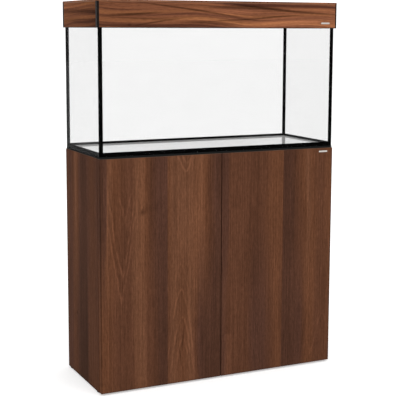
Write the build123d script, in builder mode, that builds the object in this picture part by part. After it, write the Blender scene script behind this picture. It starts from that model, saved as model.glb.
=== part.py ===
"""Aquarium set: two-door stand cabinet, glass tank and lift-off hood.

Millimetres. The origin is at floor level under the middle of the set,
+X is to the right, +Y is to the back and +Z is up. The doors face -Y.
"""
import os

from build123d import *

# ---- Driving dimensions ------------------------------------------------
cabinet_width = 800
cabinet_depth = 310  # over the doors
cabinet_top = 718
board = 16  # carcass boards
back_board = 8
door_board = 18
door_gap = 3  # between a closed door and the carcass
door_split = 2.5  # between the two doors
door_bottom = 6
door_top = cabinet_top - 1
glide_height = 4
glide_radius = 7.5
shelf_level = 352
edge_round = 0.8

tank_width = 798
tank_depth = 308
tank_height = 400
glass = 6
glue = 1  # silicone film between two panes
bead = 7  # leg of the silicone bead in each inside corner
mat_height = 5
mat_inset = 1
brace_width = 30
brace_drop = 12  # from the rim down to the top of a brace

hood_width = 808
hood_depth = 318
hood_height = 81
hood_lap = 24  # how far the skirt reaches down over the rim
hood_skin = 4
corner_side = 14  # corner profile, leg on the short side
corner_front = 6  # corner profile, leg on the long side
trim_height = 2
ledge_width = 15
ledge_height = 4
flap_axis_y = 10
flap_gap_front = 2.4
flap_gap_back = 3

hinge_levels = (96, 622)
hinge_inset = 7  # pivot from the door's outer edge
hinge_sink = 10  # pivot from the door's back face
cup_radius = 17.5
cup_depth = 13.5
cup_edge = 3  # rim of the cup from the door's outer edge
pin_radius = 1.2
knuckle_radius = 2.2
running_gap = 0.05

latch_x = 34
latch_radius = 4
latch_stroke = 2.5

hose_port_x = 250
hose_port_level = 600
hose_port_radius = 25
cable_port_x = 300
cable_port_radius = 4
hose_slot_width = 90
badge_size = (32, 5, 0.8)
door_badge_inset = (19, 11)  # from the outer side and from the top of the right door
hood_badge_inset = (20, 14)  # from the right end and from the bottom of the front panel

# ---- Places worked out from the driving dimensions ----------------------
half_width = cabinet_width / 2
half_depth = cabinet_depth / 2
inner_x = half_width - board
front_face = -half_depth
door_back = front_face + door_board
carcass_front = door_back + door_gap
back_inner = half_depth - back_board
floor_board_top = glide_height + board
roof_board_bottom = cabinet_top - board

tank_base = cabinet_top + mat_height
tank_rim = tank_base + tank_height
tank_x = tank_width / 2
tank_y = tank_depth / 2

hood_bottom = tank_rim - hood_lap
hood_top = hood_bottom + hood_height
hood_x = hood_width / 2
hood_y = hood_depth / 2
lid_bottom = hood_top - hood_skin
skirt_x = hood_x - hood_skin
skirt_y = hood_y - hood_skin

pivot_x = half_width - hinge_inset
pivot_y = door_back - hinge_sink
cup_x = half_width - cup_edge - cup_radius
flap_axis_z = hood_top - hood_skin / 2

os.makedirs("parts", exist_ok=True)


# ---- Helpers --------------------------------------------------------------
def slab(x_span, y_span, z_span, mode=Mode.ADD):
    """Add (or cut) the plain block that fills three spans, in the part being built."""
    with BuildSketch(Plane.XY.offset(z_span[0])) as outline:
        with Locations(((x_span[0] + x_span[1]) / 2, (y_span[0] + y_span[1]) / 2)):
            Rectangle(x_span[1] - x_span[0], y_span[1] - y_span[0])
    extrude(outline.sketch, amount=z_span[1] - z_span[0], mode=mode)


def rod(start, direction, radius, length, mode=Mode.ADD):
    """Add (or cut) a round rod that leaves start along direction."""
    with BuildSketch(Plane(origin=start, z_dir=direction)) as outline:
        Circle(radius)
    extrude(outline.sketch, amount=length, mode=mode)


def finish(piece, name):
    """Label a finished piece and write it as its own STEP file."""
    piece.part.label = name
    export_step(piece.part, f"parts/{name}.step")


def finish_pair(piece, name):
    """Write a left-hand piece and its mirror image for the right-hand side."""
    with BuildPart() as other_side:
        mirror(piece.part, about=Plane.YZ)
    finish(piece, f"{name}_left")
    finish(other_side, f"{name}_right")


# ---- Places shared by several pieces ---------------------------------------
shelf_pin_radius = 2.5
shelf_pin_length = 16
shelf_pin_ys = (-80, 100)
shelf_pin_z = shelf_level - shelf_pin_radius
plate_screw_y = carcass_front + 37
plate_screw_drop = 16
plate_height = 2
screw_radius = 1.6
screw_length = 10
cup_screw_drop = 26
cup_screw_x = cup_x - 9.5
cup_screw_reach = 9
cam_radius = 7.5
cam_depth = 12
cam_inset = 26
cam_ys = (-90, 110)
back_screw_xs = (-360, -180, 180, 360)
back_screw_inset = 8
back_screw_length = 14
glide_ys = (carcass_front + 20, half_depth - 20)
strike_radius = 9
strike_height = 1
latch_level = roof_board_bottom - 10
latch_tip_y = door_back + strike_height + 0.3
port_sleeve_radius = hose_port_radius + 4


# ---- Cabinet: carcass boards -----------------------------------------------
def side_board(side):
    """A side board, with blind holes for the hinge plate screws."""
    x_span = sorted((side * half_width, side * inner_x))
    slab(x_span, (carcass_front, half_depth), (glide_height, cabinet_top))
    for level in hinge_levels:
        for step in (-plate_screw_drop, plate_screw_drop):
            start = (side * inner_x, plate_screw_y, level + step)
            rod(start, (side, 0, 0), screw_radius, screw_length, Mode.SUBTRACT)


with BuildPart() as side_panel_right:
    side_board(1)
finish(side_panel_right, "side_panel_right")

with BuildPart() as side_panel_left:
    side_board(-1)
    for y in shelf_pin_ys:
        start = (-inner_x, y, shelf_pin_z)
        rod(start, (-1, 0, 0), shelf_pin_radius, shelf_pin_length / 2, Mode.SUBTRACT)
finish(side_panel_left, "side_panel_left")

with BuildPart() as bottom_panel:
    slab((-inner_x, inner_x), (carcass_front, back_inner), (glide_height, floor_board_top))
    for x in (-inner_x + cam_inset, inner_x - cam_inset):
        for y in cam_ys:
            rod((x, y, floor_board_top), (0, 0, -1), cam_radius, cam_depth, Mode.SUBTRACT)
    for x in back_screw_xs:
        start = (x, back_inner, floor_board_top - back_screw_inset)
        rod(start, (0, -1, 0), screw_radius, back_screw_length, Mode.SUBTRACT)
finish(bottom_panel, "bottom_panel")

with BuildPart() as top_panel:
    slab((-inner_x, inner_x), (carcass_front, back_inner), (roof_board_bottom, cabinet_top))
    for x in (-inner_x + cam_inset, inner_x - cam_inset):
        for y in cam_ys:
            rod((x, y, roof_board_bottom), (0, 0, 1), cam_radius, cam_depth, Mode.SUBTRACT)
    for x in back_screw_xs:
        start = (x, back_inner, roof_board_bottom + back_screw_inset)
        rod(start, (0, -1, 0), screw_radius, back_screw_length, Mode.SUBTRACT)
finish(top_panel, "top_panel")

with BuildPart() as back_panel:
    slab((-inner_x, inner_x), (back_inner, half_depth), (glide_height, cabinet_top))
    for x in (-hose_port_x, hose_port_x):
        start = (x, half_depth, hose_port_level)
        rod(start, (0, -1, 0), port_sleeve_radius, back_board, Mode.SUBTRACT)
    for x in back_screw_xs:
        for z in (floor_board_top - back_screw_inset, roof_board_bottom + back_screw_inset):
            rod((x, half_depth, z), (0, -1, 0), screw_radius, back_board, Mode.SUBTRACT)
finish(back_panel, "back_panel")

with BuildPart() as center_divider:
    slab((-board / 2, board / 2), (carcass_front, back_inner), (floor_board_top, roof_board_bottom))
    for y in shelf_pin_ys:
        start = (-board / 2, y, shelf_pin_z)
        rod(start, (1, 0, 0), shelf_pin_radius, shelf_pin_length / 2, Mode.SUBTRACT)
finish(center_divider, "center_divider")

with BuildPart() as shelf:
    shelf_depth = (carcass_front + 20, back_inner - 6)
    slab((1 - inner_x, -board / 2 - 1), shelf_depth, (shelf_level, shelf_level + board))
    fillet(shelf.edges().group_by(Axis.Y)[0], edge_round)
finish(shelf, "shelf")

with BuildPart() as shelf_pins:
    for y in shelf_pin_ys:
        for wall_x, inward in ((-inner_x, 1), (-board / 2, -1)):
            start = (wall_x - inward * shelf_pin_length / 2, y, shelf_pin_z)
            rod(start, (inward, 0, 0), shelf_pin_radius, shelf_pin_length)
finish(shelf_pins, "shelf_pins")

with BuildPart() as glide_feet:
    for x in (-half_width + board / 2, 0, half_width - board / 2):
        for y in glide_ys:
            rod((x, y, 0), (0, 0, 1), glide_radius, glide_height)
    fillet(glide_feet.edges().group_by(Axis.Z)[0], edge_round)
finish(glide_feet, "glide_feet")

with BuildPart() as cam_locks:
    for x in (-inner_x + cam_inset, inner_x - cam_inset):
        for y in cam_ys:
            rod((x, y, floor_board_top), (0, 0, -1), cam_radius, cam_depth)
            rod((x, y, roof_board_bottom), (0, 0, 1), cam_radius, cam_depth)
    slot_depth = 1.5
    for x in (-inner_x + cam_inset, inner_x - cam_inset):
        for y in cam_ys:
            for z_span in (
                (floor_board_top - slot_depth, floor_board_top),
                (roof_board_bottom, roof_board_bottom + slot_depth),
            ):
                slab((x - 4.5, x + 4.5), (y - 0.8, y + 0.8), z_span, Mode.SUBTRACT)
                slab((x - 0.8, x + 0.8), (y - 4.5, y + 4.5), z_span, Mode.SUBTRACT)
finish(cam_locks, "cam_locks")

with BuildPart() as back_panel_screws:
    head_radius = 3.4
    head_height = 1.6
    for x in back_screw_xs:
        for z in (floor_board_top - back_screw_inset, roof_board_bottom + back_screw_inset):
            rod((x, half_depth, z), (0, -1, 0), screw_radius, back_board + back_screw_length)
            rod((x, half_depth, z), (0, 1, 0), head_radius, head_height)
    fillet(back_panel_screws.edges().group_by(Axis.Y)[-1], edge_round)
finish(back_panel_screws, "back_panel_screws")


# ---- Cabinet: hose ports and support mat ------------------------------------
with BuildPart() as hose_grommet_left:
    flange_height = 1.6
    port_start = (-hose_port_x, back_inner - flange_height, hose_port_level)
    port_length = back_board + 2 * flange_height
    rod(port_start, (0, 1, 0), port_sleeve_radius, port_length)
    rod(port_start, (0, 1, 0), port_sleeve_radius + 4, flange_height)
    rod((-hose_port_x, half_depth, hose_port_level), (0, 1, 0), port_sleeve_radius + 4, flange_height)
    rod(port_start, (0, 1, 0), hose_port_radius, port_length, Mode.SUBTRACT)
finish_pair(hose_grommet_left, "hose_grommet")

with BuildPart() as support_mat:
    slab(
        (mat_inset - tank_x, tank_x - mat_inset),
        (mat_inset - tank_y, tank_y - mat_inset),
        (cabinet_top, tank_base),
    )
finish(support_mat, "support_mat")


# ---- Concealed hinges ---------------------------------------------------------
# Each hinge turns about one pin inside its cup. The pivot lies in the door's
# thickness, so the opened door stands clear of the side board's front edge.
with BuildPart() as hinge_plates:
    plate_x = (-inner_x, plate_height - inner_x)
    for level in hinge_levels:
        slab(plate_x, (carcass_front + 12, carcass_front + 60), (level - 7, level + 7))
        slab(plate_x, (plate_screw_y - 8, plate_screw_y + 8), (level - 23, level + 23))
    fillet(hinge_plates.edges().filter_by(Axis.X), 3)
    for level in hinge_levels:
        for step in (-plate_screw_drop, plate_screw_drop):
            start = (-inner_x, plate_screw_y, level + step)
            rod(start, (1, 0, 0), screw_radius, plate_height, Mode.SUBTRACT)
finish_pair(hinge_plates, "hinge_plates")

with BuildPart() as hinge_arms:
    arm_front = carcass_front + 6
    arm_back = carcass_front + 62
    stem_x = -cup_x + 0.5
    arm_base = plate_height - inner_x
    arm_half_width = 4
    for level in hinge_levels:
        with BuildSketch(Plane.XY.offset(level - arm_half_width)) as arm_side:
            with BuildLine():
                Polyline(
                    (-pivot_x, pivot_y - 1),
                    (stem_x + 1, pivot_y - 1),
                    (stem_x + 1, arm_front),
                    (arm_base + 8, arm_front + 6),
                    (arm_base + 8, arm_back),
                    (arm_base, arm_back),
                    (arm_base, arm_front),
                    (stem_x - 1, arm_front - 2),
                    (stem_x - 1, pivot_y + 1),
                    (-pivot_x, pivot_y + 1),
                    close=True,
                )
            make_face()
            with Locations((-pivot_x, pivot_y)):
                Circle(knuckle_radius)
                Circle(pin_radius + running_gap, mode=Mode.SUBTRACT)
        extrude(amount=2 * arm_half_width)
finish_pair(hinge_arms, "hinge_arms")

with BuildPart() as hinge_plate_screws:
    for side in (-1, 1):
        for level in hinge_levels:
            for step in (-plate_screw_drop, plate_screw_drop):
                seat = (side * (inner_x - plate_height), plate_screw_y, level + step)
                rod(seat, (side, 0, 0), screw_radius, plate_height + screw_length)
                rod(seat, (-side, 0, 0), 3.2, 1.8)
finish(hinge_plate_screws, "hinge_plate_screws")

with BuildPart() as hinge_cups:
    flange = 1
    for level in hinge_levels:
        rim = (-cup_x, door_back, level)
        rod(rim, (0, -1, 0), cup_radius, cup_depth)
        with BuildSketch(Plane(origin=rim, x_dir=(1, 0, 0), z_dir=(0, 1, 0))) as wings:
            with Locations((cup_x - cup_screw_x, 0)):
                RectangleRounded(13, 2 * cup_screw_drop + 12, 5)
            Circle(cup_radius)
        extrude(wings.sketch, amount=flange)
        mouth = (-cup_x, door_back + flange, level)
        rod(mouth, (0, -1, 0), cup_radius - 1, cup_depth + flange - 0.8, Mode.SUBTRACT)
        for step in (-cup_screw_drop, cup_screw_drop):
            start = (-cup_screw_x, door_back, level + step)
            rod(start, (0, 1, 0), screw_radius, flange, Mode.SUBTRACT)
        pin_start = (-pivot_x, pivot_y, level - cup_radius)
        rod(pin_start, (0, 0, 1), pin_radius, 2 * cup_radius, Mode.SUBTRACT)
finish_pair(hinge_cups, "hinge_cups")

with BuildPart() as hinge_pins:
    pin_half_length = 9.2
    for level in hinge_levels:
        rod((-pivot_x, pivot_y, level - pin_half_length), (0, 0, 1), pin_radius, 2 * pin_half_length)
finish_pair(hinge_pins, "hinge_pins")

with BuildPart() as cup_screws:
    for level in hinge_levels:
        for step in (-cup_screw_drop, cup_screw_drop):
            seat = (-cup_screw_x, door_back + flange, level + step)
            rod(seat, (0, -1, 0), screw_radius, flange + cup_screw_reach)
            rod(seat, (0, 1, 0), 2.8, 1)
finish_pair(cup_screws, "cup_screws")


# ---- Doors ----------------------------------------------------------------------
def door_leaf():
    """The left door board, drilled for its hinge cups and their screws."""
    slab((-half_width, -door_split / 2), (front_face, door_back), (door_bottom, door_top))


def drill_door(side):
    """Bore the hinge cup seats and screw holes in a door on the given side."""
    for level in hinge_levels:
        rod((side * cup_x, door_back, level), (0, -1, 0), cup_radius, cup_depth, Mode.SUBTRACT)
        for step in (-cup_screw_drop, cup_screw_drop):
            start = (side * cup_screw_x, door_back, level + step)
            rod(start, (0, -1, 0), screw_radius, cup_screw_reach, Mode.SUBTRACT)


def round_front(panel):
    """Soften the four edges around a door's front face."""
    fillet(panel.faces().sort_by(Axis.Y)[0].edges(), edge_round)


with BuildPart() as door_left:
    door_leaf()
    round_front(door_left)
    drill_door(-1)
finish(door_left, "door_left")

badge_x = half_width - door_badge_inset[0] - badge_size[0] / 2
badge_z = door_top - door_badge_inset[1]


def badge_shape(x, y, z, mode=Mode.ADD):
    """Add (or sink) the plain badge bar that lies flush with a front face at y."""
    with BuildSketch(Plane(origin=(x, y, z), x_dir=(1, 0, 0), z_dir=(0, 1, 0))) as outline:
        SlotOverall(badge_size[0], badge_size[1])
    extrude(outline.sketch, amount=badge_size[2], mode=mode)


with BuildPart() as door_right:
    slab((door_split / 2, half_width), (front_face, door_back), (door_bottom, door_top))
    round_front(door_right)
    drill_door(1)
    badge_shape(badge_x, front_face, badge_z, Mode.SUBTRACT)
finish(door_right, "door_right")

with BuildPart() as door_badge:
    badge_shape(badge_x, front_face, badge_z)
finish(door_badge, "door_badge")

with BuildPart() as strike_plate:
    rod((-latch_x, door_back, latch_level), (0, 1, 0), strike_radius, strike_height)
finish_pair(strike_plate, "strike_plate")


# ---- Push latches -----------------------------------------------------------------
with BuildPart() as push_latch_housings:
    latch_front = carcass_front + 4
    latch_length = 62
    for x in (-latch_x, latch_x):
        slab(
            (x - 8, x + 8),
            (latch_front, latch_front + latch_length),
            (latch_level - 8, roof_board_bottom),
        )
    fillet(push_latch_housings.edges().filter_by(Axis.Y).group_by(Axis.Z)[0], 3)
    for x in (-latch_x, latch_x):
        start = (x, latch_front, latch_level)
        bore_radius = latch_radius + running_gap
        rod(start, (0, 1, 0), bore_radius, latch_length - 6, Mode.SUBTRACT)
finish(push_latch_housings, "push_latch_housings")

with BuildPart() as latch_plunger:
    plunger_end = latch_front + latch_length - 6 - latch_stroke - 1.5
    start = (-latch_x, latch_tip_y, latch_level)
    rod(start, (0, 1, 0), latch_radius, plunger_end - latch_tip_y)
    fillet(latch_plunger.edges().group_by(Axis.Y)[0], edge_round)
finish_pair(latch_plunger, "latch_plunger")


# ---- Tank -----------------------------------------------------------------------------
inner_tank_x = tank_x - glass
inner_tank_y = tank_y - glass
pane_y = inner_tank_y - glue
floor_pane_x = inner_tank_x - glue

with BuildPart() as tank_bottom_pane:
    slab((-floor_pane_x, floor_pane_x), (-pane_y, pane_y), (tank_base, tank_base + glass))
finish(tank_bottom_pane, "tank_bottom_pane")

for name, y_span in (
    ("tank_front_pane", (-tank_y, -inner_tank_y)),
    ("tank_back_pane", (inner_tank_y, tank_y)),
):
    with BuildPart() as long_pane:
        slab((-tank_x, tank_x), y_span, (tank_base, tank_rim))
        fillet(long_pane.edges().filter_by(Axis.Z), edge_round)
    finish(long_pane, name)

for name, x_span in (
    ("tank_left_pane", (-tank_x, -inner_tank_x)),
    ("tank_right_pane", (inner_tank_x, tank_x)),
):
    with BuildPart() as short_pane:
        slab(x_span, (-pane_y, pane_y), (tank_base, tank_rim))
    finish(short_pane, name)

floor_top = tank_base + glass
x_inside = (-inner_tank_x, inner_tank_x)
y_inside = (-inner_tank_y, inner_tank_y)

with BuildPart() as water_space:
    slab(x_inside, y_inside, (floor_top, tank_rim))
    corners = water_space.edges().filter_by(Axis.Z) + water_space.edges().group_by(Axis.Z)[0]
    chamfer(corners, bead)

with BuildPart() as silicone_seams:
    slab(x_inside, y_inside, (tank_base, tank_rim))
    slab((-floor_pane_x, floor_pane_x), (-pane_y, pane_y), (tank_base, floor_top), Mode.SUBTRACT)
    add(water_space.part, mode=Mode.SUBTRACT)
    for y_span in ((-inner_tank_y, -pane_y), (pane_y, inner_tank_y)):
        for x in (-tank_x, inner_tank_x):
            slab((x, x + glass), y_span, (tank_base, tank_rim))
finish(silicone_seams, "silicone_seams")

brace_top = tank_rim - brace_drop
brace_x = inner_tank_x - bead - 1
for name, side in (("brace_bar_front", -1), ("brace_bar_back", 1)):
    with BuildPart() as brace_bar:
        y_span = sorted((side * inner_tank_y, side * (inner_tank_y - brace_width)))
        slab((-brace_x, brace_x), y_span, (brace_top - glass, brace_top))
        fillet(brace_bar.edges().filter_by(Axis.Z), 2)
    finish(brace_bar, name)


# ---- Hood: walls, corner profiles, trims and rim ledges --------------------------------------
wall_bottom = hood_bottom + trim_height
wall_top = lid_bottom - trim_height
wall_x = hood_x - corner_front
wall_y = hood_y - corner_side

with BuildPart() as hood_front_panel:
    slab((-wall_x, wall_x), (-hood_y, -skirt_y), (wall_bottom, wall_top))
    hood_badge_x = wall_x - hood_badge_inset[0] - badge_size[0] / 2
    hood_badge_z = wall_bottom + hood_badge_inset[1]
    badge_shape(hood_badge_x, -hood_y, hood_badge_z, Mode.SUBTRACT)
finish(hood_front_panel, "hood_front_panel")

with BuildPart() as hood_badge:
    badge_shape(hood_badge_x, -hood_y, hood_badge_z)
finish(hood_badge, "hood_badge")

# The back is two boards, with the way in for hoses left between them.
with BuildPart() as hood_back_panels:
    for side in (-1, 1):
        x_span = sorted((side * hose_slot_width / 2, side * wall_x))
        slab(x_span, (skirt_y, hood_y), (wall_bottom, wall_top))
    cable_level = wall_top - 14
    start = (-cable_port_x, hood_y, cable_level)
    rod(start, (0, -1, 0), cable_port_radius + 2, hood_skin, Mode.SUBTRACT)
finish(hood_back_panels, "hood_back_panels")

for name, x_span in (
    ("hood_left_panel", (-hood_x, -skirt_x)),
    ("hood_right_panel", (skirt_x, hood_x)),
):
    with BuildPart() as end_panel:
        slab(x_span, (-wall_y, wall_y), (wall_bottom, wall_top))
    finish(end_panel, name)

with BuildPart() as hood_corner_profiles:
    z_span = (hood_bottom, lid_bottom)
    for side_x in (-1, 1):
        for side_y in (-1, 1):
            long_leg = sorted((side_x * hood_x, side_x * wall_x))
            slab(long_leg, sorted((side_y * hood_y, side_y * skirt_y)), z_span)
            short_leg = sorted((side_x * hood_x, side_x * skirt_x))
            slab(short_leg, sorted((side_y * hood_y, side_y * wall_y)), z_span)
    outer_corners = [
        edge
        for edge in hood_corner_profiles.edges().filter_by(Axis.Z)
        if abs(edge.center().X) > hood_x - 0.1 and abs(edge.center().Y) > hood_y - 0.1
    ]
    fillet(outer_corners, 2.5)
finish(hood_corner_profiles, "hood_corner_profiles")

with BuildPart() as hood_edge_trims:
    for z_span in ((hood_bottom, wall_bottom), (wall_top, lid_bottom)):
        for side in (-1, 1):
            slab((-wall_x, wall_x), sorted((side * hood_y, side * skirt_y)), z_span)
            slab(sorted((side * hood_x, side * skirt_x)), (-wall_y, wall_y), z_span)
finish(hood_edge_trims, "hood_edge_trims")

with BuildPart() as rim_ledges:
    z_span = (tank_rim, tank_rim + ledge_height)
    for side in (-1, 1):
        slab((-skirt_x, skirt_x), sorted((side * skirt_y, side * (skirt_y - ledge_width))), z_span)
        ledge_y = skirt_y - ledge_width
        slab(sorted((side * skirt_x, side * (skirt_x - ledge_width))), (1 - ledge_y, ledge_y - 1), z_span)
finish(rim_ledges, "rim_ledges")

with BuildPart() as hood_rear_top:
    slab((-hood_x, hood_x), (flap_axis_y + flap_gap_back, hood_y), (lid_bottom, hood_top))
    fillet(hood_rear_top.edges().filter_by(Axis.Z).group_by(Axis.Y)[-1], 2.5)
    fillet(hood_rear_top.faces().sort_by(Axis.Z)[-1].edges().group_by(Axis.Y)[-1], edge_round)
finish(hood_rear_top, "hood_rear_top")


# ---- Hood: feeding flap and its hinges -------------------------------------------------------
knuckle = 1.9
flap_pin = 0.9
leaf_height = 0.8
station_width = 48
wing_width = 22
stations = (-280, 280)
pull_hole = 12
pull_flange = 1.2
pull_y = 30 - hood_y
leaf_z = (lid_bottom - leaf_height, lid_bottom)


def barrel(x_span):
    """One length of hinge barrel around the flap's axis, with its web."""
    slab(x_span, (flap_axis_y - 1, flap_axis_y + 1), (leaf_z[0], flap_axis_z))
    start = (x_span[0], flap_axis_y, flap_axis_z)
    rod(start, (1, 0, 0), knuckle, x_span[1] - x_span[0])


def bore_barrel(x_span):
    """Open the pin hole through a length of barrel."""
    start = (x_span[0], flap_axis_y, flap_axis_z)
    rod(start, (1, 0, 0), flap_pin + running_gap, x_span[1] - x_span[0], Mode.SUBTRACT)


with BuildPart() as feeding_flap:
    slab((-hood_x, hood_x), (-hood_y, flap_axis_y - flap_gap_front), (lid_bottom, hood_top))
    fillet(feeding_flap.edges().filter_by(Axis.Z).group_by(Axis.Y)[0], 2.5)
    fillet(feeding_flap.faces().sort_by(Axis.Z)[-1].edges().group_by(Axis.Y)[0], edge_round)
    rod((0, pull_y, lid_bottom), (0, 0, 1), pull_hole + 3, hood_skin, Mode.SUBTRACT)
finish(feeding_flap, "feeding_flap")

with BuildPart() as flap_pull_ring:
    start = (0, pull_y, lid_bottom - pull_flange)
    rod(start, (0, 0, 1), pull_hole + 3, hood_skin + pull_flange)
    rod(start, (0, 0, 1), pull_hole + 6, pull_flange)
    rod(start, (0, 0, 1), pull_hole, hood_skin + pull_flange, Mode.SUBTRACT)
finish(flap_pull_ring, "flap_pull_ring")

with BuildPart() as flap_hinge_leaves:
    for x in stations:
        outer = (x - station_width / 2, x + station_width / 2)
        slab(outer, (flap_axis_y + 1, flap_axis_y + 22), leaf_z)
        for x_span in (
            (outer[0], x - wing_width / 2 - 0.3),
            (x + wing_width / 2 + 0.3, outer[1]),
        ):
            barrel(x_span)
            bore_barrel(x_span)
finish(flap_hinge_leaves, "flap_hinge_leaves")

with BuildPart() as flap_hinge_wings:
    for x in stations:
        outer = (x - station_width / 2, x + station_width / 2)
        wing = (x - wing_width / 2, x + wing_width / 2)
        slab(outer, (flap_axis_y - 22, flap_axis_y - flap_gap_front - 1), leaf_z)
        slab(wing, (flap_axis_y - flap_gap_front - 1, flap_axis_y - 1), leaf_z)
        barrel(wing)
        bore_barrel(wing)
finish(flap_hinge_wings, "flap_hinge_wings")

with BuildPart() as flap_hinge_pins:
    for x in stations:
        start = (x - station_width / 2, flap_axis_y, flap_axis_z)
        rod(start, (1, 0, 0), flap_pin, station_width)
finish(flap_hinge_pins, "flap_hinge_pins")


# ---- Hood: light unit and cable gland ------------------------------------------------------------
light_x = 330
light_y = (50, 96)
light_z = (lid_bottom - 22, lid_bottom - 2)
tube_radius = 8
tube_centre = ((light_y[0] + light_y[1]) / 2, light_z[0] - tube_radius - 2)
cap_width = 12
tube_end = light_x - cap_width + 4

with BuildPart() as light_housing:
    slab((-light_x, light_x), light_y, light_z)
    fillet(light_housing.edges().filter_by(Axis.X).group_by(Axis.Z)[-1], 3)
finish(light_housing, "light_housing")

with BuildPart() as light_tube:
    rod((-tube_end, *tube_centre), (1, 0, 0), tube_radius, 2 * tube_end)
finish(light_tube, "light_tube")

with BuildPart() as light_end_caps:
    for side in (-1, 1):
        x_span = sorted((side * light_x, side * (light_x - cap_width)))
        cap_y = (tube_centre[0] - 11, tube_centre[0] + 11)
        slab(x_span, cap_y, (tube_centre[1] - 10, light_z[0]))
    rod((-tube_end, *tube_centre), (1, 0, 0), tube_radius, 2 * tube_end, Mode.SUBTRACT)
finish(light_end_caps, "light_end_caps")

with BuildPart() as light_brackets:
    for x in (-240, 240):
        slab((x - 15, x + 15), (light_y[0] + 4, light_y[1] - 4), (light_z[1], lid_bottom))
finish(light_brackets, "light_brackets")

with BuildPart() as cable_gland:
    gland_flange = 1.5
    gland_radius = cable_port_radius + 2
    start = (-cable_port_x, skirt_y - gland_flange, cable_level)
    gland_length = hood_skin + gland_flange
    rod(start, (0, 1, 0), gland_radius, gland_length)
    rod(start, (0, 1, 0), gland_radius + 2.5, gland_flange)
    rod(start, (0, 1, 0), cable_port_radius, gland_length, Mode.SUBTRACT)
finish(cable_gland, "cable_gland")
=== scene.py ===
"""Looks of the aquarium set: walnut laminate, glass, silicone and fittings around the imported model.

Metres, in the row frame: +X right, +Y back, +Z up, the floor at Z = 0 and the doors facing -Y.
"""
import math

import bpy
from mathutils import Matrix, Vector


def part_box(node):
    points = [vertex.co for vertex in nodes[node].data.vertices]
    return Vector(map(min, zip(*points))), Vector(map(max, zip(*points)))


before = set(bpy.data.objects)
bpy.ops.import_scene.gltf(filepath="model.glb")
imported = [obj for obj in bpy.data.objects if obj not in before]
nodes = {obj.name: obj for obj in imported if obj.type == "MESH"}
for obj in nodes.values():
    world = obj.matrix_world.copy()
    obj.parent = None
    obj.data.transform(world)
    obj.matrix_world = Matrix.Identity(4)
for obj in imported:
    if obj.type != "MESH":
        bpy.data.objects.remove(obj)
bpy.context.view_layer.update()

scene = bpy.context.scene

# ---- Camera ------------------------------------------------------------------
CAMERA_PLACE = (-1.4263, -2.9943, 1.0961)
CAMERA_YAW = math.radians(25.45)  # from +Y towards +X
CAMERA_PITCH = math.radians(7.73)  # down
CAMERA_ROLL = math.radians(0.19)
CAMERA_LENS = 93.5
CAMERA_SHIFT = -0.075

camera_data = bpy.data.cameras.new("camera")
camera_data.lens = CAMERA_LENS
camera_data.shift_y = CAMERA_SHIFT
camera = bpy.data.objects.new("camera", camera_data)
scene.collection.objects.link(camera)
camera.matrix_world = (
    Matrix.Translation(CAMERA_PLACE)
    @ Matrix.Rotation(-CAMERA_YAW, 4, "Z")
    @ Matrix.Rotation(math.pi / 2 - CAMERA_PITCH, 4, "X")
    @ Matrix.Rotation(CAMERA_ROLL, 4, "Z")
)
scene.camera = camera
scene.view_settings.view_transform = "Standard"
scene.view_settings.look = "None"


# ---- Shader helpers ----------------------------------------------------------
def srgb(red, green, blue):
    """A colour given as 0 to 255 screen values, turned into the linear values that shaders use."""
    linear = []
    for value in (red, green, blue):
        part = value / 255
        linear.append(part / 12.92 if part <= 0.04045 else ((part + 0.055) / 1.055) ** 2.4)
    return (*linear, 1.0)


def grey(value):
    """A linear grey."""
    return (value, value, value, 1.0)


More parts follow.
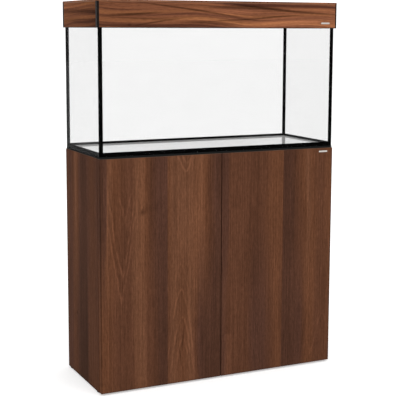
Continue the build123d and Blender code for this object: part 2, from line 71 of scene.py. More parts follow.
class Shader:
    """A material made of one Principled shader and the nodes that feed it."""

    def __init__(self, name, **settings):
        self.material = bpy.data.materials.new(name)
        self.material.use_nodes = True
        self.tree = self.material.node_tree
        self.tree.nodes.clear()
        self.output = self.tree.nodes.new("ShaderNodeOutputMaterial")
        self.surface = self.tree.nodes.new("ShaderNodeBsdfPrincipled")
        self.tree.links.new(self.surface.outputs[0], self.output.inputs["Surface"])
        for socket, value in settings.items():
            self.put(self.surface.inputs[socket.replace("_", " ")], value)
        coordinates = self.tree.nodes.new("ShaderNodeTexCoord")
        self.place = coordinates.outputs["Object"]
        split = self.tree.nodes.new("ShaderNodeSeparateXYZ")
        self.tree.links.new(self.place, split.inputs[0])
        self.x, self.y, self.z = split.outputs  # metres in the row frame, at any pose

    def put(self, socket, value):
        """Link a node output to a socket, or set the socket to a plain value."""
        if isinstance(value, bpy.types.NodeSocket):
            self.tree.links.new(value, socket)
        else:
            socket.default_value = value

    def math(self, operation, first, second=0.0, clamp=False):
        """One arithmetic node."""
        node = self.tree.nodes.new("ShaderNodeMath")
        node.operation = operation
        node.use_clamp = clamp
        self.put(node.inputs[0], first)
        self.put(node.inputs[1], second)
        return node.outputs[0]

    def plus(self, first, second):
        return self.math("ADD", first, second)

    def minus(self, first, second, clamp=False):
        return self.math("SUBTRACT", first, second, clamp)

    def times(self, first, second):
        return self.math("MULTIPLY", first, second)

    def scale_add(self, value, factor, offset):
        """value * factor + offset."""
        return self.plus(self.times(value, factor), offset)

    def vary(self, noise, contrast):
        """A factor around 1 that a noise from 0 to 1 moves up and down."""
        return self.scale_add(noise, contrast, 1.0 - contrast / 2)

    def waver(self, noise, width):
        """A shift around 0, in metres, that a noise from 0 to 1 moves to either side."""
        return self.scale_add(noise, width, -width / 2)

    def average(self, first, second):
        return self.plus(self.times(first, 0.5), self.times(second, 0.5))

    def vector(self, x, y, z):
        """One vector from three values."""
        node = self.tree.nodes.new("ShaderNodeCombineXYZ")
        for socket, value in zip(node.inputs, (x, y, z)):
            self.put(socket, value)
        return node.outputs[0]

    def noise(self, vector, scale=1.0, detail=3.0, roughness=0.5, distortion=0.0):
        node = self.tree.nodes.new("ShaderNodeTexNoise")
        self.put(node.inputs["Vector"], vector)
        node.inputs["Scale"].default_value = scale
        node.inputs["Detail"].default_value = detail
        node.inputs["Roughness"].default_value = roughness
        node.inputs["Distortion"].default_value = distortion
        return node.outputs[0]

    def grain(self, first, second, seed, detail=3.0, roughness=0.5, distortion=0.0):
        """Stretched noise: first and second are each a coordinate and its cells per metre."""
        stretched = self.vector(self.times(*first), seed, self.times(*second))
        return self.noise(stretched, 1.0, detail, roughness, distortion)

    def cells(self, vector, scale):
        """Distance to the middle of the nearest cell."""
        node = self.tree.nodes.new("ShaderNodeTexVoronoi")
        self.put(node.inputs["Vector"], vector)
        node.inputs["Scale"].default_value = scale
        return node.outputs["Distance"]

    def span(self, value, low, high, to_low=0.0, to_high=1.0):
        """Value mapped from low..high to to_low..to_high, clamped."""
        node = self.tree.nodes.new("ShaderNodeMapRange")
        self.put(node.inputs["Value"], value)
        for socket, number in zip(node.inputs[1:5], (low, high, to_low, to_high)):
            socket.default_value = number
        return node.outputs[0]

    def ramp(self, value, stops):
        """A colour ramp through stops of (position, colour)."""
        node = self.tree.nodes.new("ShaderNodeValToRGB")
        self.put(node.inputs[0], value)
        elements = node.color_ramp.elements
        while len(elements) < len(stops):
            elements.new(1.0)
        for element, (position, color) in zip(elements, stops):
            element.position = position
            element.color = color
        return node.outputs[0]

    def mix(self, factor, first, second):
        """The first colour at factor 0 and the second at factor 1."""
        node = self.tree.nodes.new("ShaderNodeMix")
        node.data_type = "RGBA"
        self.put(node.inputs["Factor"], factor)
        for socket, color in zip([item for item in node.inputs if item.type == "RGBA"], (first, second)):
            self.put(socket, color)
        return [item for item in node.outputs if item.type == "RGBA"][0]

    def shade(self, color, amount):
        """Colour multiplied by a grey amount, which may go above 1."""
        node = self.tree.nodes.new("ShaderNodeVectorMath")
        node.operation = "SCALE"
        self.put(node.inputs[0], color[:3] if isinstance(color, tuple) else color)
        self.put(node.inputs["Scale"], amount)
        return node.outputs[0]

    def facing_up(self):
        """1 on the faces that point upward and 0 on the others."""
        geometry = self.tree.nodes.new("ShaderNodeNewGeometry")
        split = self.tree.nodes.new("ShaderNodeSeparateXYZ")
        self.tree.links.new(geometry.outputs["Normal"], split.inputs[0])
        return self.math("GREATER_THAN", split.outputs["Z"], 0.7)

    def bump(self, height, strength, distance=0.0002):
        """Relief of the given height, in metres."""
        node = self.tree.nodes.new("ShaderNodeBump")
        self.put(node.inputs["Height"], height)
        node.inputs["Strength"].default_value = strength
        node.inputs["Distance"].default_value = distance
        self.put(self.surface.inputs["Normal"], node.outputs[0])

    def use(self, socket, value):
        """Feed one socket of the surface shader."""
        self.put(self.surface.inputs[socket], value)


def dress(material, *names):
    """Give CAD nodes a material."""
    for name in names:
        slots = nodes[name].data.materials
        slots.clear()
        slots.append(material)


# ---- Walnut tones ------------------------------------------------------------
NIGHT = srgb(69, 45, 34)
SHADE = srgb(77, 50, 38)
DARK = srgb(84, 55, 43)
UMBER = srgb(88, 56, 40)
BROWN = srgb(94, 60, 43)
RUST = srgb(101, 64, 44)
TAN = srgb(107, 70, 50)
AMBER = srgb(114, 74, 52)

WOOD_ROUGHNESS = 0.55
WOOD_SPECULAR = 0.003  # matt: more lays a grey veil over the wood
WOOD_LEVEL = 0.86  # brightness of the laminate under this studio's lights
PAINTED_TOP_HIGHLIGHT = srgb(112, 94, 84)  # painted highlight: the pale grey of the boards' upward faces
# Painted shade along each board's foot, just above the floor:
PAINTED_FOOT_SHADE_FULL = 0.006  # painted shade: metres above the floor up to which a board's foot is darkest
PAINTED_FOOT_SHADE_END = 0.010  # and the painted shade has faded out from here
PAINTED_FOOT_SHADE_LEVEL = 0.7
STRIPE_CONTRAST = 1.10
FIBRE_CONTRAST = 1.20
MOTTLE_CONTRAST = 0.64
CLOUD_CONTRAST = 0.44
PORE_LEVEL = 0.80
PLANK_LOWER_TONES = 0.18  # metres above the floor: a plank's lower tones hold up to here
PLANK_UPPER_TONES = 0.52  # and its upper tones from here
PEAK_ROUNDING = 0.003  # metres: keeps a ring's peak from being a sharp point
RING_OUTSIDE = 0.005  # metres: the pale line's spread outside a ring
RING_INSIDE = 0.015  # and the dark side's spread inside it
RING_FADE_IN = 0.012  # metres before a ring's tip
RING_PROFILE = [
    (0.0, grey(0.5)),
    (0.10, grey(0.54)),
    (0.25, grey(0.82)),
    (0.40, grey(0.54)),
    (0.50, grey(0.38)),
    (1.0, grey(0.5)),
]
PATCH_SOFTNESS = 0.002  # metres


def curve_distance(shader, across, along, centre, tip, slope, power):
    """How far inside a growth ring's line a point is, and how far it lies from the ring's tip.

    Both are in metres. The line is along = tip + slope * sideways ** power, so a slope below 0
    gives a peak and one above 0 a valley.
    """
    sideways = shader.minus(across, centre)
    rounded = shader.math("SQRT", shader.plus(shader.times(sideways, sideways), PEAK_ROUNDING ** 2))
    rise = shader.times(shader.minus(along, tip), math.copysign(1.0, slope))
    line = shader.times(shader.math("POWER", rounded, power), abs(slope))
    steepness = shader.times(shader.math("POWER", rounded, power - 1), abs(slope) * power)
    length = shader.math("SQRT", shader.plus(shader.times(steepness, steepness), 1.0))
    return shader.math("DIVIDE", shader.minus(rise, line), length), rise


def growth_ring(shader, across, along, centre, tip, slope, power, reach, strength, seed):
    """The tone factor of one growth ring: a thin pale line with a dark, soft inner side."""
    wobble = shader.grain((across, 8.0), (along, 14.0), seed=seed, detail=2.0)
    shifted = shader.plus(across, shader.waver(wobble, 0.014))
    inside, rise = curve_distance(shader, shifted, along, centre, tip, slope, power)
    profile = shader.ramp(shader.span(inside, -RING_OUTSIDE, RING_INSIDE), RING_PROFILE)
    broken = shader.grain((across, 60.0), (along, 30.0), seed=seed, detail=2.0)
    fade = shader.times(shader.span(rise, reach, reach * 0.4), shader.span(rise, -RING_FADE_IN, 0.0))
    fade = shader.times(fade, shader.span(broken, 0.35, 0.60, 0.35, 1.0))
    return shader.scale_add(shader.times(fade, shader.minus(profile, 0.5)), strength, 1.0)


def streak(shader, across, along, middle, centre, slope, bend, half_length, half_width, strength):
    """The tone factor of a lens-shaped streak along the grain: above 0 pale, below 0 dark."""
    run = shader.minus(along, middle)
    drift = shader.plus(shader.times(run, slope), shader.times(shader.times(run, run), bend))
    off = shader.math("DIVIDE", shader.minus(shader.minus(across, centre), drift), half_width)
    part = shader.math("DIVIDE", run, half_length)
    room = shader.minus(1.0, shader.times(part, part), clamp=True)
    depth = shader.minus(room, shader.times(off, off), clamp=True)
    return shader.scale_add(depth, strength, 1.0)


def knot(shader, across, along, centre, height, size):
    """The tone factor of a small dark knot."""
    from_side = shader.math("DIVIDE", shader.minus(across, centre), size)
    from_height = shader.math("DIVIDE", shader.minus(along, height), size * 1.5)
    squares = shader.plus(shader.times(from_side, from_side), shader.times(from_height, from_height))
    return shader.span(shader.math("SQRT", squares), 0.15, 1.0, 0.6, 1.0)


def pale_patch(shader, across, along, side_span, along_span, strength):
    """The tone factor of a straight-sided paler patch, as where a veneer was pieced."""
    inside = 1.0
    for value, (low, high) in ((across, side_span), (along, along_span)):
        inside = shader.times(inside, shader.span(value, low - PATCH_SOFTNESS, low + PATCH_SOFTNESS))
        inside = shader.times(inside, shader.span(value, high + PATCH_SOFTNESS, high - PATCH_SOFTNESS))
    return shader.scale_add(inside, strength, 1.0)


def plank_color(shader, across, along, seed, start, end, upper, lower):
    """One plank's tones from side to side, near its upper end and near its lower end."""
    slow = shader.grain((across, 4.0), (along, 3.0), seed=seed, detail=2.0)
    ragged = shader.grain((across, 90.0), (along, 3.0), seed=seed, detail=2.0)
    shift = shader.plus(shader.waver(slow, 0.036), shader.waver(ragged, 0.016))
    place = shader.span(shader.plus(across, shift), start, end)
    colors = []
    for stops in (upper, lower):
        colors.append(shader.ramp(place, [((at - start) / (end - start), tone) for at, tone in stops]))
    height = shader.span(along, PLANK_LOWER_TONES, PLANK_UPPER_TONES)
    return shader.mix(height, colors[1], colors[0])


def laminate(name, across, along, planks, rings=(), streaks=(), knots=(), patches=(), painted_edge_light=False):
    """Cabinet laminate, printed as walnut planks laid edge to edge.

    across and along give a face's coordinates, in metres, across the grain and along it. A plank is
    (start, end, upper tones, lower tones), with each tone's place between start and end. The rest are
    rings of (centre, tip, slope, power, reach, strength), streaks of (middle, centre, slope, bend,
    half length, half width, strength), knots of (centre, height, size) and patches of (span across,
    span along, strength). Where asked, a board gets painted shade along its foot and a pale grey
    painted highlight on its upward faces.
    """
    shader = Shader(name, Roughness=WOOD_ROUGHNESS, Specular_IOR_Level=WOOD_SPECULAR)
    side = across(shader)
    up = along(shader)
    color = None
    for number, plank in enumerate(planks):
        tone = plank_color(shader, side, up, 3.7 * number + 1.3, *plank)
        if color is None:
            color = tone
        else:
            color = shader.mix(shader.math("GREATER_THAN", side, plank[0]), color, tone)
    stripe = shader.grain((side, 240.0), (up, 2.4), seed=0.0, detail=3.0, roughness=0.65)
    fibre = shader.grain((side, 560.0), (up, 24.0), seed=3.0, detail=3.0, roughness=0.6)
    mottle = shader.grain((side, 210.0), (up, 70.0), seed=8.0, detail=2.0, roughness=0.6)
    pores = shader.grain((side, 1500.0), (up, 90.0), seed=6.0, detail=1.0)
    cloud = shader.grain((side, 16.0), (up, 5.0), seed=4.0, detail=3.0)
    factors = [
        shader.vary(stripe, STRIPE_CONTRAST),
        shader.vary(fibre, FIBRE_CONTRAST),
        shader.vary(mottle, MOTTLE_CONTRAST),
        shader.vary(cloud, CLOUD_CONTRAST),
        shader.span(pores, 0.34, 0.42, PORE_LEVEL, 1.0),
    ]
    for number, values in enumerate(rings):
        factors.append(growth_ring(shader, side, up, *values, 7.1 * number))
    factors += [streak(shader, side, up, *values) for values in streaks]
    factors += [knot(shader, side, up, *values) for values in knots]
    factors += [pale_patch(shader, side, up, *values) for values in patches]
    amount = factors[0]
    for factor in factors[1:]:
        amount = shader.times(amount, factor)
    color = shader.shade(color, shader.times(amount, WOOD_LEVEL))
    if painted_edge_light:
        # Painted shade: the foot of each board is darkened.
        foot = shader.span(up, PAINTED_FOOT_SHADE_END, PAINTED_FOOT_SHADE_FULL)
        color = shader.mix(foot, color, shader.shade(color, PAINTED_FOOT_SHADE_LEVEL))
        # Painted highlight: upward faces turn pale grey.
        color = shader.mix(shader.facing_up(), color, PAINTED_TOP_HIGHLIGHT)
    shader.use("Base Color", color)
    shader.use("Roughness", shader.scale_add(fibre, 0.16, WOOD_ROUGHNESS - 0.08))
    shader.bump(shader.plus(fibre, pores), 0.15)
    return shader.material


door_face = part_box("door_left")[0][1]


def across_front(shader):
    """Across a door: X on its face, and on round its edge."""
    return shader.plus(shader.x, shader.minus(shader.y, door_face))


def across_side(shader):
    """Across a side board, from the back to the front, and on round its edges."""
    outside = shader.minus(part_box("side_panel_right")[1][0], shader.math("ABSOLUTE", shader.x))
    return shader.minus(outside, shader.y)


def back_and_up(shader):
    """Across a lying board: from the front to the back, and on round its edges."""
    return shader.plus(shader.y, shader.z)


def back_and_right(shader):
    """Across the divider: from the front to the back, and on round its edges."""
    return shader.plus(shader.y, shader.x)


def rightward(shader):
    return shader.x


def backward(shader):
    return shader.y


def upward(shader):
    return shader.z


left_door_wood = laminate(
    "walnut_laminate_left_door",
    across_front,
    upward,
    [
        (-0.400, -0.183,
         # The first upper tones, SHADE and DARK up to -0.385, are painted shade along the door's left edge.
         [(-0.400, SHADE), (-0.385, DARK), (-0.378, TAN), (-0.360, RUST), (-0.320, BROWN), (-0.300, BROWN),
          (-0.282, TAN), (-0.262, AMBER), (-0.250, RUST), (-0.235, UMBER), (-0.215, DARK), (-0.183, DARK)],
         [(-0.400, RUST), (-0.375, RUST), (-0.350, BROWN), (-0.325, UMBER), (-0.300, BROWN),
          (-0.287, TAN), (-0.262, TAN), (-0.250, BROWN), (-0.230, UMBER), (-0.205, SHADE), (-0.183, SHADE)]),
        (-0.183, 0.002,
         [(-0.183, RUST), (-0.165, TAN), (-0.120, TAN), (-0.090, AMBER), (-0.070, AMBER),
          (-0.055, RUST), (-0.040, UMBER), (-0.020, DARK), (0.002, SHADE)],
         [(-0.183, BROWN), (-0.165, TAN), (-0.130, RUST), (-0.105, TAN), (-0.085, BROWN),
          (-0.070, DARK), (-0.052, SHADE), (0.002, SHADE)]),
    ],
    rings=[
        (-0.334, 0.276, 8.0, 1.10, 0.40, 1.6),
        (-0.331, 0.346, 8.6, 1.12, 0.36, 1.6),
        (-0.322, 0.530, 6.0, 1.10, 0.12, 1.1),
        (-0.123, 0.666, 20.0, 1.60, 0.10, 1.5),
        (-0.120, 0.692, 18.0, 1.60, 0.10, 1.0),
        (-0.139, 0.383, -70.0, 1.80, 0.34, 0.5),
        (-0.138, 0.303, -60.0, 1.80, 0.30, 1.4),
        (-0.135, 0.215, -66.0, 1.80, 0.24, 1.2),
        (-0.131, 0.150, -60.0, 1.70, 0.16, 1.0),
    ],
    streaks=[
        (0.36, -0.378, 0.0, 0.0, 0.40, 0.004, 0.10),
        (0.35, -0.286, 0.0, 0.0, 0.40, 0.003, 0.14),
        (0.14, -0.132, 0.10, 0.0, 0.05, 0.004, -0.35),
        (0.09, -0.140, -0.12, 0.0, 0.035, 0.003, -0.35),
        (0.11, -0.100, -0.09, 0.0, 0.16, 0.006, 0.28),
        (0.557, -0.258, 0.6, 0.0, 0.020, 0.016, -0.22),
        (0.566, -0.225, 1.2, 0.0, 0.024, 0.030, -0.12),
        # Painted shade: a thin dark line down the door's rounded left edge.
        (0.360, -0.399, 0.0, 0.0, 0.60, 0.003, -0.40),
    ],
    knots=[(-0.266, 0.552, 0.008)],
    painted_edge_light=True,
)
right_door_wood = laminate(
    "walnut_laminate_right_door",
    across_front,
    upward,
    [
        (0.0, 0.219,
         [(0.0, DARK), (0.016, DARK), (0.028, BROWN), (0.060, BROWN), (0.090, BROWN), (0.130, UMBER),
          (0.155, BROWN), (0.185, RUST), (0.219, RUST)],
         [(0.0, SHADE), (0.010, DARK), (0.028, BROWN), (0.060, BROWN), (0.095, UMBER), (0.120, DARK),
          (0.155, DARK), (0.180, BROWN), (0.205, RUST), (0.219, BROWN)]),
        (0.219, 0.402,
         [(0.219, SHADE), (0.248, SHADE), (0.272, UMBER), (0.296, RUST), (0.310, TAN), (0.326, RUST),
          (0.360, BROWN), (0.402, RUST)],
         [(0.219, SHADE), (0.248, SHADE), (0.285, DARK), (0.298, UMBER), (0.312, RUST), (0.328, RUST),
          (0.345, BROWN), (0.402, BROWN)]),
    ],
    rings=[
        (0.328, 0.026, 7.0, 1.10, 0.10, 0.9),
        (0.372, 0.170, -40.0, 1.70, 0.30, 0.6),
        (0.352, 0.560, -36.0, 1.70, 0.35, 0.45),
    ],
    streaks=[
        (0.58, 0.313, 0.0, 0.0, 0.14, 0.004, 0.24),
        # Painted shade: a thin dark line down the door's rounded right edge.
        (0.36, 0.399, 0.0, 0.0, 0.60, 0.003, -0.35),
        (0.42, 0.118, 0.05, 0.0, 0.18, 0.045, -0.12),
        (0.10, 0.300, 0.15, 0.0, 0.12, 0.006, -0.15),
    ],
    patches=[((0.011, 0.035), (-0.01, 0.140), 0.26)],
    painted_edge_light=True,
)
side_wood = laminate(
    "walnut_laminate_side",
    across_side,
    upward,
    [
        (-0.160, 0.038,
         [(-0.160, UMBER), (-0.105, DARK), (-0.085, BROWN), (-0.067, TAN), (-0.048, RUST), (-0.026, DARK),
          (-0.005, SHADE), (0.038, SHADE)],
         [(-0.160, DARK), (-0.110, DARK), (-0.085, BROWN), (-0.066, UMBER), (-0.045, SHADE), (-0.025, NIGHT),
          (0.038, NIGHT)]),
        (0.038, 0.170,
         [(0.038, DARK), (0.075, UMBER), (0.100, UMBER), (0.135, DARK), (0.170, DARK)],
         [(0.038, DARK), (0.055, UMBER), (0.075, UMBER), (0.120, UMBER), (0.170, DARK)]),
    ],
    rings=[(0.095, 0.320, 40.0, 1.5, 0.30, 0.6), (0.098, 0.480, -40.0, 1.5, 0.30, 0.5)],
    streaks=[(0.60, -0.066, 0.0, 0.0, 0.20, 0.010, 0.10)],
    knots=[(-0.062, 0.205, 0.006)],
    painted_edge_light=True,
)
board_wood = laminate(
    "walnut_laminate_boards",
    back_and_up,
    rightward,
    [
        (-0.2, 1.0,
         [(-0.2, DARK), (0.0, RUST), (0.2, BROWN), (0.45, UMBER), (0.6, RUST), (0.8, DARK), (1.0, BROWN)],
         [(-0.2, BROWN), (0.0, UMBER), (0.2, RUST), (0.45, DARK), (0.6, BROWN), (0.8, UMBER), (1.0, BROWN)]),
    ],
)
divider_wood = laminate(
    "walnut_laminate_divider",
    back_and_right,
    upward,
    [
        (-0.2, 0.2,
         [(-0.2, UMBER), (-0.1, BROWN), (0.0, RUST), (0.1, DARK), (0.2, BROWN)],
         [(-0.2, BROWN), (-0.1, DARK), (0.0, BROWN), (0.1, UMBER), (0.2, UMBER)]),
    ],
)
dress(left_door_wood, "door_left")
dress(right_door_wood, "door_right")
dress(side_wood, "side_panel_left", "side_panel_right")
dress(board_wood, "bottom_panel", "top_panel", "shelf")
dress(divider_wood, "center_divider")


# ---- Hood walnut -------------------------------------------------------------
HOOD_TONES = [
    (0.0, srgb(80, 47, 35)),
    (0.22, srgb(104, 64, 46)),
    (0.5, srgb(124, 77, 53)),
    (0.75, srgb(138, 87, 58)),
    (1.0, srgb(152, 98, 63)),
]
HOOD_LINE_CONTRAST = 1.8
HOOD_FIBRE_CONTRAST = 1.3
HOOD_TINT_REACH = 0.4  # metres along the grain, to either side of the middle


def hood_walnut(name, across, along, slope=0.0, streaks=(), knots=(), tints=(1.0, 1.0)):
    """Walnut with lying grain: long dark streaks that flow, pinch and open like water.

    The streaks and knots are given as for the laminate. The tints are the wood's brightness at
    the two ends of its length.
    """
    shader = Shader(name, Roughness=0.5, Specular_IOR_Level=WOOD_SPECULAR)
    side = across(shader)
    run = along(shader)
    drift = shader.grain((run, 2.4), (side, 9.0), seed=0.0, detail=1.0)
    flowed = shader.plus(side, shader.waver(drift, 0.050))
    flowed = shader.plus(flowed, shader.times(run, slope))
    band = shader.grain((run, 1.0), (flowed, 55.0), seed=2.0, detail=3.0, roughness=0.6)
    line = shader.grain((run, 2.4), (flowed, 260.0), seed=9.0, detail=3.0, roughness=0.65)
    fibre = shader.grain((run, 60.0), (flowed, 700.0), seed=5.0, detail=3.0, roughness=0.6)
    color = shader.ramp(shader.span(band, 0.36, 0.66), HOOD_TONES)
    amount = shader.times(shader.vary(line, HOOD_LINE_CONTRAST), shader.vary(fibre, HOOD_FIBRE_CONTRAST))
    waved = shader.plus(side, shader.waver(drift, 0.012))
    for values in streaks:
        amount = shader.times(amount, streak(shader, waved, run, *values))
    for values in knots:
        amount = shader.times(amount, knot(shader, side, run, *values))
    amount = shader.times(amount, shader.span(run, -HOOD_TINT_REACH, HOOD_TINT_REACH, *tints))
    shader.use("Base Color", shader.shade(color, amount))
    shader.use("Roughness", shader.scale_add(line, 0.2, 0.40))
    shader.bump(shader.plus(line, fibre), 0.15)
    return shader.material


hood_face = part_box("hood_front_panel")[0][1]


def up_front(shader):
    """Up the hood's front, and on over its edges."""
    return shader.plus(shader.z, shader.minus(shader.y, hood_face))


def up_end(shader):
    """Up the hood's ends; the share of X gives the two ends different grain."""
    return shader.plus(shader.z, shader.times(shader.x, 0.3))


hood_front_wood = hood_walnut(
    "hood_walnut_front",
    up_front,
    rightward,
    0.02,
    streaks=[
        (0.09, 1.163, -0.02, -0.30, 0.16, 0.008, -0.62),
        (0.25, 1.150, -0.08, 0.12, 0.24, 0.005, -0.60),
        (-0.10, 1.152, -0.13, 0.0, 0.24, 0.004, -0.60),
        (-0.30, 1.139, 0.05, 0.0, 0.11, 0.005, -0.62),
        (-0.27, 1.127, -0.04, 0.0, 0.13, 0.003, -0.35),
        (-0.05, 1.114, -0.04, 0.0, 0.12, 0.007, -0.38),
        (0.10, 1.128, 0.07, 0.0, 0.22, 0.0035, -0.50),
        (0.22, 1.137, 0.03, 0.0, 0.16, 0.003, -0.35),
        (0.03, 1.147, 0.02, 0.0, 0.13, 0.010, 0.36),
        (0.19, 1.113, 0.03, 0.0, 0.17, 0.015, 0.34),
        (-0.28, 1.163, 0.0, 0.0, 0.16, 0.007, 0.14),
        (-0.22, 1.117, 0.14, -0.4, 0.09, 0.0035, -0.50),
        (0.30, 1.122, -0.02, 0.0, 0.12, 0.006, 0.15),
    ],
    knots=[(1.108, -0.305, 0.005)],
    tints=(0.78, 1.12),
)
hood_end_wood = hood_walnut(
    "hood_walnut_end",
    up_end,
    backward,
    streaks=[
        (0.0, 1.026, 0.02, 0.0, 0.40, 0.007, -0.40),
        (0.0, 1.001, 0.0, 0.0, 0.40, 0.006, -0.25),
        (0.06, 1.040, 0.0, 0.0, 0.30, 0.009, 0.25),
        (0.0, 1.012, 0.0, 0.0, 0.30, 0.006, 0.12),
    ],
    tints=(0.20, 1.14),
)
hood_top_wood = hood_walnut("hood_walnut_top", backward, rightward)
dress(hood_front_wood, "hood_front_panel", "hood_back_panels")
dress(hood_end_wood, "hood_left_panel", "hood_right_panel")
dress(hood_top_wood, "hood_rear_top", "feeding_flap")


# ---- Glass -------------------------------------------------------------------
FRONT_TINT = grey(0.835)
END_TINT = grey(0.80)
SHADOW_TINT = grey(0.93)  # what a pane leaves of the light that lands behind it
GLASS_IOR = 1.05  # low, so that the white studio's reflection doesn't grey the black seams
GLASS_HAZE = 0.04
# Near-white base of the floor pane: painted reflection of the white studio.
FLOOR_PANE_PAINTED_REFLECTION = (0.97, 0.98, 0.98, 1.0)


def clear_glass(name, tint):
    """Float glass that lets light through, with the faint cloudiness of a wiped pane."""
    shader = Shader(name, Roughness=0.0, IOR=GLASS_IOR, Transmission_Weight=1.0)
    cloud = shader.noise(shader.place, 7.0, 3.0, 0.55)
    wipe = shader.noise(shader.vector(shader.x, shader.y, shader.times(shader.z, 4.0)), 9.0, 2.0)
    haze = shader.average(cloud, wipe)
    shader.use("Base Color", shader.shade(tint, shader.vary(haze, GLASS_HAZE)))
    tree = shader.tree
    path = tree.nodes.new("ShaderNodeLightPath")
    clear = tree.nodes.new("ShaderNodeBsdfTransparent")
    clear.inputs["Color"].default_value = SHADOW_TINT
    choose = tree.nodes.new("ShaderNodeMixShader")
    lit = shader.math("MAXIMUM", path.outputs["Is Shadow Ray"], path.outputs["Is Diffuse Ray"])
    tree.links.new(lit, choose.inputs[0])
    tree.links.new(shader.surface.outputs[0], choose.inputs[1])
    tree.links.new(clear.outputs[0], choose.inputs[2])
    tree.links.new(choose.outputs[0], shader.output.inputs["Surface"])
    return shader.material


def floor_pane_painted_reflection():
    """The tank's floor pane: glossy and slightly clouded, near white as a painted reflection of the white
    studio, over the soft dark mat below it.
    """
    shader = Shader("floor_pane_painted_reflection", IOR=1.5, Specular_IOR_Level=0.5)
    cloud = shader.noise(shader.place, 9.0, 4.0, 0.55)
    # Painted reflection: the near-white base colour stands for the studio reflected in the pane.
    shader.use("Base Color", shader.shade(FLOOR_PANE_PAINTED_REFLECTION, shader.vary(cloud, GLASS_HAZE)))
    shader.use("Roughness", shader.times(cloud, 0.006))
    return shader.material


pane_glass = clear_glass("float_glass", FRONT_TINT)
end_glass = clear_glass("float_glass_ends", END_TINT)
dress(pane_glass, "tank_front_pane", "tank_back_pane", "brace_bar_front", "brace_bar_back")
dress(end_glass, "tank_left_pane", "tank_right_pane")
dress(floor_pane_painted_reflection(), "tank_bottom_pane")


# ---- Silicone, foam, plastics and metals -------------------------------------
TRIM_DARK = srgb(34, 24, 20)
TRIM_BROWN = srgb(122, 86, 64)
LAMP_WHITE_REACH = 0.285  # metres from the middle: the lamp tube is white up to here
LAMP_GREY_REACH = 0.312  # and at its greyest here


def plain(name, color, roughness, grain=900.0, depth=0.08, spread=0.12, metallic=0.0, specular=0.5):
    """A moulded or plated surface: one colour with a fine, uneven grain.

    grain is the number of specks per metre, depth the strength of their relief and spread how far
    the colour strays to either side.
    """
    shader = Shader(name, Metallic=metallic, Specular_IOR_Level=specular)
    speckle = shader.noise(shader.place, grain, 3.0, 0.6)
    patch = shader.noise(shader.place, 18.0, 3.0)
    mixed = shader.average(speckle, patch)
    shader.use("Base Color", shader.shade(color, shader.vary(mixed, 2 * spread)))
    shader.use("Roughness", shader.scale_add(patch, 0.12, roughness - 0.06))
    shader.bump(speckle, depth)
    return shader.material


def edge_trim():
    """Edge banding of the hood: nearly black round the bottom, walnut brown round the top."""
    shader = Shader("hood_edge_trim", Roughness=0.45, Specular_IOR_Level=0.08)
    low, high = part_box("hood_edge_trims")
    flat_place = shader.vector(shader.times(shader.x, 30.0), shader.times(shader.y, 30.0), 0.0)
    fleck = shader.noise(flat_place)
    height = shader.span(shader.z, low[2], high[2])
    color = shader.ramp(height, [(0.45, TRIM_DARK), (0.55, TRIM_BROWN)])
    shader.use("Base Color", shader.shade(color, shader.vary(fleck, 0.5)))
    shader.bump(fleck, 0.1)
    return shader.material


def fibreboard():
    """Thin printed back board: fibres that lie every way under a brown film, with pale flecks."""
    shader = Shader("back_fibreboard", Specular_IOR_Level=0.1)
    mottle = shader.noise(shader.place, 9.0, 4.0, 0.6)
    hairs = shader.grain(
        (shader.x, 90.0), (shader.z, 26.0), seed=0.0, detail=4.0, roughness=0.7, distortion=2.5
    )
    flecks = shader.cells(shader.place, 260.0)
    browns = [(0.30, srgb(66, 43, 32)), (0.52, srgb(86, 58, 44)), (0.72, srgb(104, 74, 56))]
    color = shader.ramp(hairs, browns)
    amount = shader.times(shader.vary(mottle, 0.5), shader.span(flecks, 0.02, 0.12, 1.35, 1.0))
    shader.use("Base Color", shader.shade(color, amount))
    shader.use("Roughness", shader.scale_add(hairs, 0.2, 0.5))
    shader.bump(hairs, 0.2, 0.0003)
    return shader.material


def lamp_glass():
    """A white tube that greys towards its two ends."""
    shader = Shader("lamp_glass", Roughness=0.12, Coat_Weight=0.6)
    near_end = shader.span(shader.math("ABSOLUTE", shader.x), LAMP_WHITE_REACH, LAMP_GREY_REACH)
    greys = [(0.0, srgb(240, 240, 236)), (0.6, srgb(206, 204, 196)), (1.0, srgb(120, 118, 112))]
    shader.use("Base Color", shader.ramp(near_end, greys))
    return shader.material


silicone = plain(
    "black_silicone", srgb(7, 7, 7),
    roughness=0.35, grain=240.0, depth=0.15, specular=0.05,
)
foam = plain(
    "support_foam", srgb(24, 25, 24),
    roughness=0.85, grain=700.0, depth=0.4, spread=0.25, specular=0.1,
)
profile = plain(
    "dark_profile", srgb(22, 16, 14),
    roughness=0.4, grain=1200.0, depth=0.1, specular=0.08,
)
black_plastic = plain(
    "black_plastic", srgb(24, 23, 22),
    roughness=0.5, grain=1300.0, depth=0.2, specular=0.2,
)
grey_plastic = plain(
    "grey_plastic", srgb(150, 150, 148),
    roughness=0.5, grain=1300.0, depth=0.15,
)
glide_plastic = plain(
    "glide_plastic", srgb(40, 38, 36),
    roughness=0.55, grain=1000.0, depth=0.2,
)
white_metal = plain(
    "white_powder_coat", srgb(226, 226, 222),
    roughness=0.45, grain=1800.0, depth=0.25, spread=0.04,
)
nickel = plain(
    "nickel_plate", srgb(196, 193, 186),
    roughness=0.28, grain=500.0, depth=0.05, spread=0.06, metallic=1.0,
)
zinc = plain(
    "zinc_plate", srgb(186, 188, 190),
    roughness=0.36, grain=800.0, depth=0.1, spread=0.08, metallic=1.0,
)
badge_metal = plain(
    "badge_metal", srgb(196, 192, 186),
    roughness=0.35, grain=900.0, depth=0.05, spread=0.08, metallic=0.6,
)

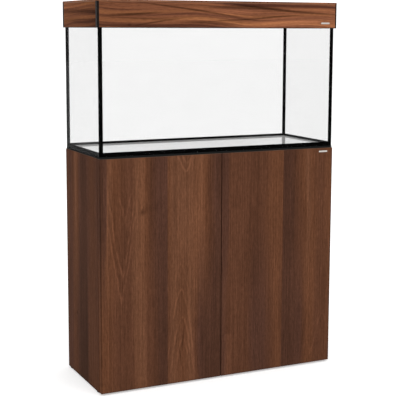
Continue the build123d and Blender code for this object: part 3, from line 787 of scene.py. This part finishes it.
dress(silicone, "silicone_seams")
dress(foam, "support_mat")
dress(profile, "hood_corner_profiles")
dress(edge_trim(), "hood_edge_trims")
dress(
    black_plastic,
    "rim_ledges", "hose_grommet_left", "hose_grommet_right", "cable_gland", "flap_pull_ring",
)
dress(
    grey_plastic,
    "push_latch_housings", "latch_plunger_left", "latch_plunger_right", "light_end_caps", "light_brackets",
)
dress(glide_plastic, "glide_feet")
dress(white_metal, "light_housing")
dress(
    nickel,
    "hinge_plates_left", "hinge_plates_right", "hinge_arms_left", "hinge_arms_right", "hinge_cups_left",
    "hinge_cups_right", "hinge_pins_left", "hinge_pins_right", "strike_plate_left", "strike_plate_right",
    "shelf_pins", "cam_locks", "flap_hinge_leaves", "flap_hinge_wings", "flap_hinge_pins",
)
dress(zinc, "back_panel_screws", "hinge_plate_screws", "cup_screws_left", "cup_screws_right")
dress(badge_metal, "door_badge", "hood_badge")
dress(fibreboard(), "back_panel")
dress(lamp_glass(), "light_tube")


# ---- Studio: floor, lights and surroundings ----------------------------------
FLOOR_GLOW = 0.42  # light through the floor from below, which keeps it white
FLOOR_SIZE = 60.0
BACKGROUND = 1.32  # seen by the camera and through the glass; as bright as the far floor
AMBIENT = 0.42  # what lights the object


def floor_material():
    """Pale, even studio floor."""
    shader = Shader(
        "studio_floor",
        Roughness=0.9,
        Specular_IOR_Level=0.0,
        Emission_Color=grey(1.0),
        Emission_Strength=FLOOR_GLOW,
    )
    grain = shader.noise(shader.place, 3.0, 2.0)
    shader.use("Base Color", shader.ramp(grain, [(0.3, grey(0.79)), (0.7, grey(0.81))]))
    return shader.material


floor_mesh = bpy.data.meshes.new("studio_floor")
half = FLOOR_SIZE / 2
corners = [(-half, -half, 0), (half, -half, 0), (half, half, 0), (-half, half, 0)]
floor_mesh.from_pydata(corners, [], [(0, 1, 2, 3)])
floor = bpy.data.objects.new("studio_floor", floor_mesh)
floor_mesh.materials.append(floor_material())
scene.collection.objects.link(floor)


def soft_light(name, source, strength, softness=50.0):
    """A broad, distant light that shines from the direction of source; softness is in degrees."""
    data = bpy.data.lights.new(name, "SUN")
    data.energy = strength
    data.angle = math.radians(softness)
    light = bpy.data.objects.new(name, data)
    light.rotation_mode = "QUATERNION"
    light.rotation_quaternion = Vector(source).to_track_quat("Z", "Y")
    scene.collection.objects.link(light)


soft_light("key_light", (0.3, -0.75, 0.6), strength=0.8)
soft_light("left_light", (-0.8, -0.2, 0.6), strength=0.4)
soft_light("back_light", (0.5, 0.8, 0.6), strength=0.3)
soft_light("top_light", (0.0, -0.2, 1.0), strength=1.3, softness=90.0)


def studio_world():
    """White all round: bright where it is seen, softer where it only lights the object."""
    world = bpy.data.worlds.new("studio")
    world.use_nodes = True
    tree = world.node_tree
    sky = tree.nodes["Background"]
    sky.inputs["Color"].default_value = grey(1.0)
    path = tree.nodes.new("ShaderNodeLightPath")
    seen = tree.nodes.new("ShaderNodeMath")
    seen.operation = "MAXIMUM"
    tree.links.new(path.outputs["Is Camera Ray"], seen.inputs[0])
    tree.links.new(path.outputs["Is Transmission Ray"], seen.inputs[1])
    level = tree.nodes.new("ShaderNodeMapRange")
    level.inputs["To Min"].default_value = AMBIENT
    level.inputs["To Max"].default_value = BACKGROUND
    tree.links.new(seen.outputs[0], level.inputs["Value"])
    tree.links.new(level.outputs[0], sky.inputs["Strength"])
    return world


scene.world = studio_world()
